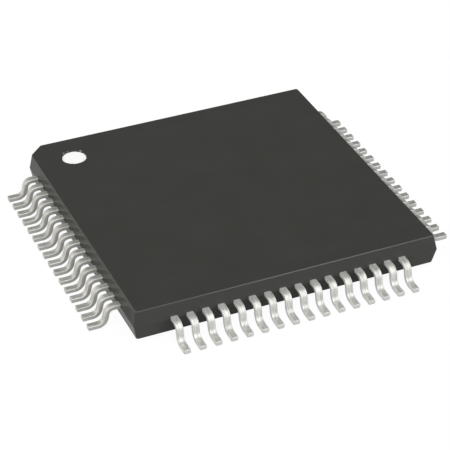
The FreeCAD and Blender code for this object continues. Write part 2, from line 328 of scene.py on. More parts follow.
# A surface in patches of two tones, with a fine grain in its gloss and its relief
def patchyFinish(name, look, **constants):
    finish = Finish(name, **constants)
    where = finish.coordinates("Object", (1, 1, 1))
    patches = finish.patches(where, look["patchScale"])
    grain = finish.grain(where, look["grainScale"]) if "grainScale" in look else patches
    tone = finish.ramp(patches, look["toneSpan"], look["dullTone"], look["brightTone"])
    finish.paint("Base Color", tone)
    finish.paint("Roughness", finish.spread(grain, look["smoothest"], look["roughest"]))
    finish.bump(grain, look["grainStrength"], look["grainDepth"])
    return finish.material


tinLook = {
    "metalShare": 0.60,
    "dullTone": (0.40, 0.398, 0.374),
    "brightTone": (0.82, 0.818, 0.791),
    "streakSpan": (0.34, 0.66),  # of the streaks' noise, from dull to bright
    "speckle": 0.22,  # how far the grain shifts the tone, either way
    "flatLightLift": 0.19,  # how far the painted light on the flats shifts it towards bright
    "shearedMetalShare": 0.42,  # the stamped sides are matt
    # Darker tone of the stamped sides: partly their own matt cut finish, partly painted shade
    # between the leads
    "shearedAndShadedTone": (0.52, 0.516, 0.49),
    "cutTone": (0.72, 0.718, 0.695),  # the trimmed toe is bare and bright
    "burnishAndLightTone": (0.86, 0.858, 0.830),  # where the forming tools rub, and painted light on some rows' sides, rims and bends
    "streakStretch": (0.8, 10, 1),  # along and across the strip, per millimetre of it
    "fineStretch": (5, 26, 1),
    "grainScale": 34000,
    "grainRelief": 0.4,  # height of the grain, beside that of the streaks
    "reliefDepth": 0.004,
    "reliefStrength": 0.4,
    "smoothest": 0.36,
    "roughest": 0.50,
    "shearedRoughness": 0.16,  # added on the sides and the toe
}


def tinFinish():
    look = tinLook
    finish = Finish("satinTinPlating")
    broad = finish.patches(finish.coordinates("UV", look["streakStretch"]), 1)
    fine = finish.grain(finish.coordinates("UV", look["fineStretch"]), 1)
    grain = finish.grain(finish.coordinates("Object", (1, 1, 1)), look["grainScale"])
    streaks = finish.sum(finish.spread(broad, 0, 0.5), finish.spread(fine, 0, 0.5))
    sheared = finish.attribute("shearedSide")
    cut = finish.attribute("cutEnd")
    speckled = finish.sum(streaks, finish.spread(grain, -look["speckle"], look["speckle"]))
    # Painted light lifts the flats of the front and back rows towards bright
    flatLight = finish.spread(finish.attribute("flatLight"), 0, look["flatLightLift"])
    flatLit = finish.sum(speckled, flatLight)
    plated = finish.ramp(flatLit, look["streakSpan"], look["dullTone"], look["brightTone"])
    # The sides take their matt cut tone, partly painted shade between the leads
    side = finish.blendTowards(plated, look["shearedAndShadedTone"], sheared)
    # Burnish from the forming tools, partly painted light that differs from row to row
    rubbedAndLit = finish.blendTowards(side, look["burnishAndLightTone"], finish.attribute("burnishAndLight"))
    finish.paint("Base Color", finish.blendTowards(rubbedAndLit, look["cutTone"], cut))
    worn = finish.sum(sheared, cut)
    finish.paint("Metallic", finish.spread(worn, look["metalShare"], look["shearedMetalShare"]))
    satin = finish.spread(grain, look["smoothest"], look["roughest"])
    finish.paint("Roughness", finish.sum(satin, finish.spread(worn, 0, look["shearedRoughness"])))
    relief = finish.sum(streaks, finish.spread(grain, 0, look["grainRelief"]))
    finish.bump(relief, look["reliefStrength"], look["reliefDepth"])
    return finish.material


siliconLook = {
    "ior": 1.9,
    "blockWidth": 0.42,
    "blockHeight": 0.23,
    "trackWidth": 0.02,
    "blueTone": (0.13, 0.12, 0.2),
    "brownTone": (0.2, 0.16, 0.14),
    "trackTone": (0.34, 0.33, 0.31),
    "grainScale": 9,  # per millimetre
    "trackDepth": 0.001,
    "trackStrength": 0.1,
    "roughest": 0.25,
    "smoothest": 0.12,
}


# Die: dark polished silicon with the faint blocks of its circuit showing under the top layer
def siliconFinish():
    look = siliconLook
    finish = Finish("polishedSilicon", IOR=look["ior"])
    perMm = 1 / metresPerMm
    where = finish.coordinates("Object", (perMm, perMm, perMm))
    blocks = addNode(finish.tree, "TexBrick", {
        "Vector": where,
        "Scale": 1,
        "Brick Width": look["blockWidth"],
        "Row Height": look["blockHeight"],
        "Mortar Size": look["trackWidth"],
        "Color1": (*look["blueTone"], 1),
        "Color2": (*look["brownTone"], 1),
        "Mortar": (*look["trackTone"], 1),
    })
    grain = finish.grain(where, look["grainScale"])
    finish.paint("Base Color", blocks["Color"])
    finish.paint("Roughness", finish.spread(grain, look["smoothest"], look["roughest"]))
    finish.bump(blocks["Fac"], look["trackStrength"], look["trackDepth"])
    return finish.material


# Moulded body

mould = {
    "halfWidth": 5.0,  # at the parting plane
    "partingHeight": 0.61,
    "topHeight": 1.10,
    "underside": 0.10,
    "draft": 11,
    "chamferLeg": 0.50,
    "cornerRadius": 0.07,
    "topBevel": 0.019,  # narrow flat at 45 degrees round the top face
    "leftBevel": 0.2,  # width of that flat along the left edge, as a share of the rest
    "bottomEdge": 0.03,
    "flashLand": 0.012,  # height of the thin flat left by the parting line
    "flashEdge": (0.0015, 0.004),  # how far in and beyond that flat its edge ends
    "shadeHalf": 4.3,  # half the length of wall with painted shade between the leads
    "shadeFade": 0.4,
    "dimpleCentre": (-3.68, 3.79),
    "dimpleRadius": 0.415,
    "dimpleFloor": 1.05,
    "ejectorRadius": 0.90,
    "ejectorFloor": 0.15,
    "markRim": 0.012,  # radius of both marks' rims
    "rimReach": (1.3, 2),  # in rim radii: down the dimple's wall, and out over the top face
    # Foot of each mark's wall: how far in from the wall and off the floor, point by point
    "dimpleFoot": ((0.012, 0.0005), (0.004, 0.004), (0.001, 0.012)),
    "ejectorFoot": ((0.001, 0.008), (0.004, 0.002), (0.012, 0)),
    # Rings of the skin, as shares of the way across each surface or in steps
    "dimpleShares": (0.3, 0.7, 0.93),
    "topShares": (0.25, 0.5, 0.75, 0.93),
    "bevelShares": (0, 0.12, 0.88, 1),
    "baseShares": (0.9, 0.6, 0.3, 0.02),
    "ejectorShares": (0.9, 0.6, 0.25),
    "rimTurns": (0, 30, 60, 90),
    "edgeSteps": 6,
    "wallSteps": 6,
    # How far the last ring of a flat surface stands off what follows it
    "settle": {"top": 0.010, "bevel": 0.004, "parting": 0.02, "bottom": 0.01, "base": 0.012,
               "ejector": 0.02},
    # Columns of the skin
    "cornerColumns": 9,
    "sideColumns": 17,
    "columnAngle": 5,  # between two columns, seen from the dimple
    "besideTurns": (0.002, 0.5, 0.998),
    "clearOfTurns": 0.01,
    "traceSteps": 8001,
    "traceInsets": (0.1, 0.2),  # two outlines that tell which way a place faces
}

stretchCount = 10  # a turn and a straight side for each of the outline's five corners
longSides = (1, 3, 5, 9)  # the stretches that aren't the short side at the cut corner


# Points of the body's outline in plan, drawn in by inset from the parting plane's outline:
# straight sides joined by quarter or eighth turns. place counts along it, whole numbers being
# the ends of the stretches, even stretches turns and odd ones straight.
def outlineAt(inset, place):
    half = mould["halfWidth"] - inset
    leg = mould["chamferLeg"] - inset * (2 - math.sqrt(2))
    corners = np.stack([-half, -half, half, -half, half, half,
                        leg - half, half, -half, half - leg], -1).reshape(-1, 5, 2)
    heading = np.roll(corners, -1, axis=-2) - corners
    heading = heading / np.linalg.norm(heading, axis=-1, keepdims=True)
    came = np.roll(heading, 1, axis=-2)
    turned = np.arccos(np.clip(np.sum(came * heading, -1), -1, 1))
    radius = mould["cornerRadius"]
    tangent = radius * np.tan(turned / 2)[..., None]
    startOfTurn = corners - came * tangent
    endOfTurn = corners + heading * tangent
    inwards = np.stack([-came[..., 1], came[..., 0]], -1)
    centres = startOfTurn + inwards * radius
    startAngle = np.arctan2(-inwards[..., 1], -inwards[..., 0])
    stretch = np.minimum(np.floor(place).astype(int), stretchCount - 1)
    share = place - stretch
    number = stretch // 2
    angle = startAngle[:, number] + turned[:, number] * share
    onTurn = centres[:, number] + radius * np.stack([np.cos(angle), np.sin(angle)], -1)
    fromPoint = endOfTurn[:, number]
    toPoint = np.roll(startOfTurn, -1, axis=-2)[:, number]
    onSide = fromPoint + (toPoint - fromPoint) * share[:, None]
    return np.where((stretch % 2 == 0)[:, None], onTurn, onSide)


# Where the columns stand: even steps of angle seen from the dimple, so that its rim is round,
# steps along each side, steps round each corner, and one close to each end of a corner.
def outlinePlaces():
    dense = np.linspace(0, stretchCount, mould["traceSteps"])[:-1]
    trace = outlineAt(np.array(mould["traceInsets"]), dense)[0]
    seen = trace - np.array(mould["dimpleCentre"])
    angles = np.unwrap(np.arctan2(seen[:, 1], seen[:, 0]))
    wanted = np.arange(angles[0], angles[0] + 2 * np.pi, math.radians(mould["columnAngle"]))
    fromDimple = np.interp(wanted, angles, dense)
    everyTurn = np.arange(0, stretchCount, 2)[:, None]
    turns = everyTurn + np.linspace(0, 1, mould["cornerColumns"])
    besideTurns = everyTurn + 1 + np.array(mould["besideTurns"])
    even = np.array(longSides)[:, None] + np.linspace(0, 1, mould["sideColumns"])[1:-1]
    onSides = np.concatenate([fromDimple, even.ravel()])
    onSides = onSides[np.floor(onSides).astype(int) % 2 == 1]
    share = onSides - np.floor(onSides)
    onSides = onSides[np.abs(share - 0.5) < 0.5 - mould["clearOfTurns"]]
    places = np.unique(np.round(np.concatenate([turns.ravel(), besideTurns.ravel(), onSides]), 6))
    return places[places < stretchCount]


# The profile of the body from the middle of the dimple, over the top and down the wall, to the
# middle of the underside. Each step has its kind, the radius of a round ring about a mark, the
# outline's inset, the height and, in a mixture of the two, how far it lies towards the outline.
def bodyProfile():
    draft = math.radians(mould["draft"])
    slope = math.tan(draft)
    topZ, partingZ, baseZ = mould["topHeight"], mould["partingHeight"], mould["underside"]
    rim = mould["markRim"]
    rimTurns = np.radians(mould["rimTurns"])
    settle = mould["settle"]
    rows = []

    # Dimple, and the top face round it
    radius, floorZ = mould["dimpleRadius"], mould["dimpleFloor"]
    wallReach, topReach = mould["rimReach"]
    for share in mould["dimpleShares"]:
        rows.append(("mark", radius * share, 0, floorZ))
    for inwards, up in mould["dimpleFoot"]:
        rows.append(("mark", radius - inwards, 0, floorZ + up))
    rows.append(("mark", radius, 0, topZ - rim * wallReach))
    for turn in rimTurns:
        rows.append(("mark", radius + rim * (1 - math.cos(turn)), 0,
                     topZ - rim * (1 - math.sin(turn))))
    rows.append(("mark", radius + rim * topReach, 0, topZ))
    bevel = mould["topBevel"]
    lowZ = topZ - bevel
    topInset = (lowZ - partingZ) * slope + bevel
    for share in mould["topShares"]:
        rows.append(("between", radius + rim * topReach, topInset, topZ, share))
    rows.append(("edge", 0, topInset + settle["top"], topZ))

    # Bevel, which takes a painted highlight along the front, and the wall down to the parting line
    for share in mould["bevelShares"]:
        rows.append(("worn", 0, topInset - bevel * share, topZ - bevel * share))
    wallFrom, wallTo = lowZ - settle["bevel"], partingZ + settle["parting"]
    for z in np.linspace(wallFrom, wallTo, mould["wallSteps"]):
        rows.append(("wall", 0, (z - partingZ) * slope, z))
    land = mould["flashLand"] / 2
    edgeIn, edgeBeyond = mould["flashEdge"]
    rows.append(("wall", 0, land * slope + edgeIn, partingZ + land + edgeBeyond))
    rows.append(("wall", 0, 0.0, partingZ + land))
    rows.append(("wall", 0, 0.0, partingZ - land))
    rows.append(("wall", 0, land * slope + edgeIn, partingZ - land - edgeBeyond))

    # Wall below the parting line, the bottom edge and the underside
    edge = mould["bottomEdge"]
    centreZ = baseZ + edge
    centreInset = (partingZ - centreZ) * slope + edge / math.cos(draft)
    wallFrom = partingZ - settle["parting"]
    wallTo = centreZ - edge * math.sin(draft) + settle["bottom"]
    for z in np.linspace(wallFrom, wallTo, mould["wallSteps"]):
        rows.append(("wall", 0, (partingZ - z) * slope, z))
    for turn in np.radians(np.linspace(mould["draft"], 90, mould["edgeSteps"])):
        rows.append(("edge", 0, centreInset - edge * math.cos(turn),
                     centreZ - edge * math.sin(turn)))
    rows.append(("edge", 0, centreInset + settle["base"], baseZ))
    radius, floorZ = mould["ejectorRadius"], mould["ejectorFloor"]
    for share in mould["baseShares"]:
        rows.append(("under", radius + settle["ejector"], centreInset, baseZ, share))
    for turn in rimTurns[::-1]:
        rows.append(("push", radius + rim * (1 - math.cos(turn)), 0,
                     baseZ + rim * (1 - math.sin(turn))))
    for inwards, down in mould["ejectorFoot"]:
        rows.append(("push", radius - inwards, 0, floorZ - down))
    for share in mould["ejectorShares"]:
        rows.append(("push", radius * share, 0, floorZ))
    return rows


# The body's skin: at each step of the profile, a round ring about a mark's centre, the outline, or
# a straight mixture of the two. Marks say where its front bevel takes a painted highlight, where
# the wall takes painted shade between the leads, and which rings lie on the wall.
def bodySkin():
    places = outlinePlaces()
    rows = bodyProfile()
    outline = outlineAt(np.array([row[2] for row in rows], float), places)
    outer, inner = outlineAt(np.array(mould["traceInsets"]), places)
    dimple = np.array(mould["dimpleCentre"])
    fromDimple = outer - dimple
    fromDimple = fromDimple / np.linalg.norm(fromDimple, axis=-1, keepdims=True)
    fromMiddle = outer / np.linalg.norm(outer, axis=-1, keepdims=True)
    outwards = (outer - inner) / np.linalg.norm(outer - inner, axis=-1, keepdims=True)
    rings = np.zeros((len(rows), len(places), 3))
    for number, (kind, radius, inset, height, *mixture) in enumerate(rows):
        if kind == "mark":
            flat = dimple + fromDimple * radius
        elif kind == "push":
            flat = fromMiddle * radius
        elif kind == "between":
            flat = (dimple + fromDimple * radius) * (1 - mixture[0]) + outline[number] * mixture[0]
        elif kind == "under":
            flat = fromMiddle * radius * (1 - mixture[0]) + outline[number] * mixture[0]
        else:
            flat = outline[number]
        rings[number, :, :2] = flat
        rings[number, :, 2] = height
    kinds = np.array([row[0] for row in rows])[:, None]
    # Along the left the bevel is drawn in towards the sharp edge that it breaks.
    slope = math.tan(math.radians(mould["draft"]))
    sharpInset = (mould["topHeight"] - mould["partingHeight"]) * slope
    sharpEdge = np.full((len(places), 3), mould["topHeight"])
    sharpEdge[:, :2] = outlineAt(np.array([sharpInset]), places)[0]
    breadth = 1 + (mould["leftBevel"] - 1) * np.clip(-outwards[:, 0], 0, 1)
    bevelled = kinds[:, 0] == "worn"
    rings[bevelled] = sharpEdge + (rings[bevelled] - sharpEdge) * breadth[:, None]
    # The bevel takes a painted highlight where it faces the front, none where it faces away
    frontHighlight = np.where(kinds == "worn", np.clip(-outwards[:, 1], 0, 1), 0)
    # Below the parting line the wall takes painted shade between the leads, fading out towards the
    # corners
    alongWall = np.abs(rings[..., :2]).min(-1)
    underParting = (kinds == "wall") & (rings[..., 2] < mould["partingHeight"])
    darkened = np.clip((mould["shadeHalf"] - alongWall) / mould["shadeFade"], 0, 1)
    return {
        "rings": rings,
        "startPole": (*mould["dimpleCentre"], mould["dimpleFloor"]),
        "endPole": (0, 0, mould["ejectorFloor"]),
        "along": np.arange(len(rows)),
        "around": np.arange(len(places) + 1),
        "marks": {"frontEdgeHighlight": (frontHighlight, [0, 0]),
                  "shadeBetweenLeads": (np.where(underParting, darkened, 0), [0, 0]),
                  "smoothWall": (np.repeat(kinds == "wall", len(places), 1), [0, 0])},
    }


# White ink on the floor of the dimple

ink = {
    "radius": 0.395,
    "offset": (0.006, -0.011),  # of its middle from the dimple's
    "bottom": 1.05,
    "top": 1.058,
    "innerShares": (0.4, 0.8),
    "edgeSteps": 9,
    "pointCount": 64,
}


# A flat disc of ink with a rolled edge: rings of growing radius over the top, round the edge by
# a half turn, and back in underneath.
def inkSkin():
    middle = (ink["top"] + ink["bottom"]) / 2
    edge = (ink["top"] - ink["bottom"]) / 2
    turn = np.linspace(math.pi / 2, -math.pi / 2, ink["edgeSteps"])
    flat = ink["radius"] - edge
    inner = np.array(ink["innerShares"]) * flat
    radii = np.concatenate([inner, flat + edge * np.cos(turn), inner[::-1]])
    heights = np.concatenate([0 * inner + ink["top"], middle + edge * np.sin(turn),
                              0 * inner + ink["bottom"]])
    angle = np.linspace(0, 2 * math.pi, ink["pointCount"], endpoint=False)
    centre = np.add(mould["dimpleCentre"], ink["offset"])
    rings = np.stack([centre[0] + radii[:, None] * np.cos(angle),
                      centre[1] + radii[:, None] * np.sin(angle),
                      heights[:, None] + 0 * angle], -1)
    return {
        "rings": rings,
        "startPole": (*centre, ink["top"]),
        "endPole": (*centre, ink["bottom"]),
        "along": np.arange(len(radii)),
        "around": np.arange(ink["pointCount"] + 1),
    }


# Gull-wing leads

lead = {
    "pitch": 0.50,
    "width": 0.22,
    "thickness": 0.15,
    "height": 0.61,  # middle of the strip where it leaves the body
    "wall": 5.0,
    "reach": 1.00,
    "shoulder": 0.20,
    "upperRadius": 0.13,  # inside the bend below the shoulder
    "lowerRadius": 0.20,  # inside the bend above the foot
    "fall": 78,  # how far each bend turns
    "upperEdge": 0.026,  # radius of the strip's upper edges
    "lowerEdge": 0.045,  # and of the lower ones, which the cutting punch rolled over
    "toeRadius": 0.014,
    "leastEdge": 0.004,  # what is left of the edges' radius at the ends
    "capTurns": (30, 60, 90),  # steps of the rounding at both ends
    # How far the left, front, right and back rows are lightened: partly burnish from the forming
    # tools, partly painted light that differs from row to row with how the light falls on each
    # side. Places along the strip: 0 to 1 shoulder, to 2 upper bend, to 3 shank, to 4 lower bend,
    # to 5 foot.
    "sideBurnishAndLight": (0.0, 1.0, 0.35, 1.0),
    "rimBurnishAndLight": (0.15, 0.7, 0.0, 0.7),
    "stripPlaces": (0, 1, 1.3, 1.6, 1.8, 2, 3, 3.2, 3.6, 4, 5),
    # First the left and right rows, then the front and back ones
    "bendBurnishAndLight": ((0, 0, 0, 0, 0.28, 0.58, 0.55, 0.23, 0, 0, 0),
                    (0, 0, 0, 0, 0.50, 0.34, 0.19, 0, 0, 0, 0)),
    # Painted light on the shoulders and feet of the front and back rows
    "flatPaintedLight": ((0, 0, 0, 0, 0, 0, 0, 0, 0, 0, 0),
                   (0.5, 0.58, 0.1, 0, 0, 0, 0, 0, 0, 0.5, 0.46)),
    # The finger inside the body: straight behind the wall, aslant, and straight at its tip
    "tipEnd": 2.80,
    "tipLength": 0.45,
    "damLength": 0.55,
    "tipPitch": 0.3194,
    "tipWidth": 0.1594,
    # Stations along the strip and points round its section
    "wallStations": (-0.1, 0, 0.05, 0.12),
    "bendSteps": 10,
    "shankShares": (0.06, 0.35, 0.65, 0.94),
    "nearChange": 0.02,  # how far stations stand off a change of direction
    "plainSection": 10,  # one that is clear of the tip's rounding
    "edgePoints": 5,
    "nearEdge": 1.175,  # in edge radii, where a flat face settles beside its edge
    "nearMiddle": 0.2,
    "sideBelow": 0.2,  # a point that faces out less than this lies on a side
    "rimBelow": 0.95,  # and less than this on a rim
    "streakShift": (7.3, 1.7),  # along and around, so that no two leads share their streaks
}


# The strip's cross-section as a rounded box. A point's place across the strip and out of its
# plane is a corner of the box, in half widths and half thicknesses, and a part in edge radii.
def stripSection():
    turn = np.linspace(0, math.pi / 2, lead["edgePoints"])
    nearEdge, nearMiddle = lead["nearEdge"], lead["nearMiddle"]
    across, out, roundAcross, roundOut = [], [], [], []
    for quarter, (sideSign, topSign) in enumerate(((1, 1), (-1, 1), (-1, -1), (1, -1))):
        angle = turn + quarter * math.pi / 2
        across += [sideSign] * len(turn)
        out += [topSign] * len(turn)
        roundAcross += list(np.cos(angle) - sideSign)
        roundOut += list(np.sin(angle) - topSign)
        if quarter in (0, 2):
            across += [sideSign, sideSign * nearMiddle, -sideSign * nearMiddle, -sideSign]
            out += [topSign] * 4
            roundAcross += [-sideSign * nearEdge, 0, 0, sideSign * nearEdge]
            roundOut += [0] * 4
    return tuple(np.array(item, float) for item in (across, out, roundAcross, roundOut))


# The strip's middle line seen from the side, from the tip inside the body to the toe: level, an arc
# down, a leaning straight, an arc back to level and a level foot. It gives the distance from the
# body's middle, the height, how far it points down and its place as the burnish and painted light
# count it.
def stripPath():
    fall = math.radians(lead["fall"])
    upperRadius = lead["upperRadius"] + lead["thickness"] / 2
    lowerRadius = lead["lowerRadius"] + lead["thickness"] / 2
    wall, height, near = lead["wall"], lead["height"], lead["nearChange"]
    slantFrom = lead["tipEnd"] + lead["tipLength"]
    slantTo = wall - lead["damLength"]
    bendStart = wall + lead["shoulder"]
    inside = np.array([lead["tipEnd"], lead["tipEnd"] + near, slantFrom - near, slantFrom + near,
                       slantTo - near, slantTo + near,
                       *[wall + apart for apart in lead["wallStations"]], bendStart - near])
    level = np.zeros(len(inside))
    angle = np.linspace(0, fall, lead["bendSteps"] + 1)
    unbend = angle[::-1]
    upperX = bendStart + upperRadius * np.sin(angle)
    upperZ = height - upperRadius * (1 - np.cos(angle))
    rest = lead["thickness"] / 2
    lowerZ = rest + lowerRadius * (1 - np.cos(unbend))
    drop = upperZ[-1] - lowerZ[0]
    lowerStart = upperX[-1] + drop / math.tan(fall)
    lowerX = lowerStart + lowerRadius * (math.sin(fall) - np.sin(unbend))
    shank = np.array(lead["shankShares"])
    shankX = upperX[-1] + (lowerX[0] - upperX[-1]) * shank
    shankZ = upperZ[-1] + (lowerZ[0] - upperZ[-1]) * shank
    toe = wall + lead["reach"]
    capStart = toe - lead["toeRadius"]
    footX = np.array([lowerX[-1] + near, (lowerX[-1] + toe) / 2, capStart - near, capStart])
    flat = np.zeros(len(footX))
    x = np.concatenate([inside, upperX, shankX, lowerX, footX])
    z = np.concatenate([level + height, upperZ, shankZ, lowerZ, flat + rest])
    down = np.concatenate([level, angle, np.full(len(shank), fall), unbend, flat])
    onFoot = 4.5
    place = np.concatenate([level, 1 + angle / fall, 2 + shank, 4 - unbend / fall, flat + onFoot])
    return x, z, down, place


# One lead on the right side: the section carried along the middle line. Inside the body the
# middle line also slides sideways, in a straight ramp from the lead's row to the tip's row, and
# the width shrinks with it. Both ends are rounded off by shrinking the last few sections.
def leadSkin(number, side):
    x, z, down, place = stripPath()
    across, out, roundAcross, roundOut = stripSection()
    share = np.clip((x - (lead["tipEnd"] + lead["tipLength"]))
                    / (lead["wall"] - lead["damLength"] - lead["tipEnd"] - lead["tipLength"]), 0, 1)
    fromMiddle = number - (leadsPerSide - 1) / 2
    y = fromMiddle * (lead["tipPitch"] + (lead["pitch"] - lead["tipPitch"]) * share)
    halfWidth = (lead["tipWidth"] + (lead["width"] - lead["tipWidth"]) * share) / 2
    travelled = np.concatenate([[0], np.cumsum(np.hypot(np.diff(x), np.diff(z)))])
    toe = lead["toeRadius"]
    turn = np.radians(lead["capTurns"])
    cap = len(turn)
    endX = lead["wall"] + lead["reach"] - toe + toe * np.sin(turn)
    shrink = toe * (1 - np.cos(turn))
    startX = lead["tipEnd"] + toe - toe * np.sin(turn[::-1])
    x = np.concatenate([startX, [lead["tipEnd"] + toe], x[1:], endX])
    y, z, down, place, halfWidth = (np.pad(values, cap, mode="edge")
                                    for values in (y, z, down, place, halfWidth))
    drawIn = np.concatenate([shrink[::-1], np.zeros(len(travelled)), shrink])
    travelled = np.concatenate([travelled[:1] - toe + toe * (1 - np.sin(turn[::-1])), travelled,
                                travelled[-1:] + toe * np.sin(turn)])
    edge = np.where(out > 0, lead["upperEdge"], lead["lowerEdge"])
    radius = np.maximum(edge - drawIn[:, None], lead["leastEdge"])
    sideways = (halfWidth - drawIn)[:, None] * across + radius * roundAcross
    outwards = (lead["thickness"] / 2 - drawIn)[:, None] * out + radius * roundOut
    middle = np.stack([x, y, z], -1)
    offset = np.stack([outwards * np.sin(down)[:, None], sideways,
                       outwards * np.cos(down)[:, None]], -1)
    acrossLoop, outLoop = sideways[lead["plainSection"]], outwards[lead["plainSection"]]
    steps = np.hypot(np.diff(acrossLoop, append=acrossLoop[:1]),
                     np.diff(outLoop, append=outLoop[:1]))
    around = np.concatenate([[0], np.cumsum(steps)])

    # Marks: faceOut is 1 on the broad faces, 0 on the sides and between on the rims.
    faceOut = np.abs(out + roundOut)
    onSide = faceOut < lead["sideBelow"]
    onRim = faceOut < lead["rimBelow"]
    sheared = np.broadcast_to(np.where(onSide, 1.0, 0.0), sideways.shape)
    # Lightened places: partly burnish from the forming tools, partly painted light that differs by
    # row; the flats of the front and back rows take painted light only
    onBend = np.interp(place, lead["stripPlaces"], lead["bendBurnishAndLight"][side % 2])[:, None]
    onFlat = np.interp(place, lead["stripPlaces"], lead["flatPaintedLight"][side % 2])[:, None]
    workedAndLit = np.where(onSide, lead["sideBurnishAndLight"][side], lead["rimBurnishAndLight"][side])
    burnishedAndLit = np.where(onRim, workedAndLit, onBend)
    burnishedAndLit[-cap:] = 0
    flatLit = np.broadcast_to(onFlat, sideways.shape)
    cutEnd = np.zeros(sideways.shape)
    cutEnd[-1] = 1
    order = side * leadsPerSide + number
    return {
        "rings": turnToSide(middle[:, None] + offset, side),
        "marks": {"shearedSide": (sheared, [0, 0]),
                  "burnishAndLight": (burnishedAndLit, [0, 0]),
                  "flatLight": (flatLit, [0, 0]),
                  "cutEnd": (cutEnd, [0, 1])},
        "startPole": turnToSide(middle[0], side),
        "endPole": turnToSide(middle[-1], side),
        "along": travelled + order * lead["streakShift"][0],
        "around": around + order * lead["streakShift"][1],
    }


# Bond wires

wire = {
    "radius": 0.0125,
    "ballRadius": 0.030,
    "ballHeight": 0.016,
    "ballShares": (0, 0.15, 0.5, 0.85, 1.0),
    "ballSizes": (0.8, 0.97, 1.0, 0.8, 0.45),
    "padRow": 1.68,
    "padPitch": 0.21,
    "padHeight": 0.770,
    "crest": 0.920,
    "overCrest": ((0, 0.02), (0.10, 0.018), (0.42, -0.01)),  # share of the span, and height
    "stitch": 3.00,
    "stitchPitch": 0.3194,
    "stitchHeight": 0.685,
    "overStitch": ((0.9, 0.03), (1.0, 0.004)),
    "pressFrom": 0.93,  # share of the span at which the stitch begins
    "pressOver": 0.07,
    "stitchWidening": 0.9,
    "stitchThinning": 0.68,
    "stationCount": 30,
    "pointCount": 8,
    "aroundStep": 0.01,
}


# One wire on the right side: a round section carried along a smooth curve that six points pull,
# which rises straight from the die, turns over at the crest and runs down to the finger. Each
# point's weight is that of a Bezier curve. It starts as a flattened ball and ends as a pressed,
# wider stitch.
def wireSkin(number, side):
    fromMiddle = number - (leadsPerSide - 1) / 2
    start = np.array([wire["padRow"], fromMiddle * wire["padPitch"]])
    end = np.array([wire["stitch"], fromMiddle * wire["stitchPitch"]])
    ballShares = np.array(wire["ballShares"])
    ballZ = wire["padHeight"] + wire["ballHeight"] * ballShares
    ballSize = np.array(wire["ballSizes"]) * wire["ballRadius"]
    neck = wire["padHeight"] + wire["ballHeight"]
    top = wire["crest"] - wire["radius"]
    points = [(0, neck)]
    points += [(share, top + rise) for share, rise in wire["overCrest"]]
    points += [(share, wire["stitchHeight"] + rise) for share, rise in wire["overStitch"]]
    t = np.linspace(0, 1, wire["stationCount"])[1:]
    order = len(points) - 1
    weights = [math.comb(order, k) * t ** k * (1 - t) ** (order - k) for k in range(order + 1)]
    loop = np.stack(weights, -1) @ np.array(points)
    share = np.concatenate([np.zeros(len(ballShares)), loop[:, 0]])
    height = np.concatenate([ballZ, loop[:, 1]])
    size = np.concatenate([ballSize, np.full(len(t), wire["radius"])])
    span = np.linalg.norm(end - start)
    distance = share * span
    along = np.concatenate([[0], np.cumsum(np.hypot(np.diff(distance), np.diff(height)))])
    tiny = 1e-9  # keeps stations at one place from dividing nothing by nothing
    apart = along + np.arange(len(along)) * tiny
    slope = np.arctan2(np.gradient(height, apart), np.gradient(distance, apart) + tiny)
    slope[:len(ballShares)] = math.pi / 2
    press = np.clip((share - wire["pressFrom"]) / wire["pressOver"], 0, 1)
    wide = size * (1 + wire["stitchWidening"] * press)
    thin = size * (1 - wire["stitchThinning"] * press)
    angle = np.linspace(0, 2 * math.pi, wire["pointCount"], endpoint=False)
    heading = (end - start) / span
    beside = np.array([-heading[1], heading[0]])
    up = np.stack([-np.sin(slope), np.cos(slope)], -1)
    offsetSide = wide[:, None] * np.cos(angle)
    offsetUp = thin[:, None] * np.sin(angle)
    lateral = distance[:, None] + offsetUp * up[:, :1]
    rings = np.stack([start[0] + lateral * heading[0] + offsetSide * beside[0],
                      start[1] + lateral * heading[1] + offsetSide * beside[1],
                      height[:, None] + offsetUp * up[:, 1:]], -1)
    return {
        "rings": turnToSide(rings, side),
        "startPole": turnToSide(rings[0].mean(0), side),
        "endPole": turnToSide(rings[-1].mean(0), side),
        "along": along,
        "around": np.arange(wire["pointCount"] + 1) * wire["aroundStep"],
    }


# Everything is put together here


# All four rows of a kind of piece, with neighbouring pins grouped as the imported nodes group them
def makeRows(skinOf, pinsPerPiece, pieceName, material, nodeName):
    for side in range(sideCount):
        for first in range(0, leadsPerSide, pinsPerPiece):
            numbers = range(first, first + pinsPerPiece)
            pins = [side * leadsPerSide + number + 1 for number in numbers]
            label = f"{pins[0]:02d}_{pins[-1]:02d}"
            skins = [skinOf(number, side) for number in numbers]
            makePiece(pieceName + label, skins, material, [nodeName + label])


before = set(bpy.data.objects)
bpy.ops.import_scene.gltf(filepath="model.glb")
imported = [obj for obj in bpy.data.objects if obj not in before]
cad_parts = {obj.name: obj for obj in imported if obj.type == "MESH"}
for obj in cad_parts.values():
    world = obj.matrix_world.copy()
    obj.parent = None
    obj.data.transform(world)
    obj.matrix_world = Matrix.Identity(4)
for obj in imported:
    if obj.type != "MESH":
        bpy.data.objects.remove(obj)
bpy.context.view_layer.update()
print("frame loaded:", len(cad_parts), "nodes")

inkMaterial = patchyFinish("flatWhiteInk", inkLook, IOR=1.45)
tinMaterial = tinFinish()
goldMaterial = patchyFinish("goldWire", goldLook, Metallic=1.0)

makePiece("mouldedBody", [bodySkin()], mouldingFinish(), ["moulded_body"])
makePiece("pinOneInk", [inkSkin()], inkMaterial, ["pin1_ink_dot"])
print("body and ink built")

makeRows(leadSkin, leadsPerNode, "gullWings_", tinMaterial, "leads_")
print("leads built")

makeRows(wireSkin, wiresPerNode, "goldWires_", goldMaterial, "bond_wires_")
print("bond wires built")

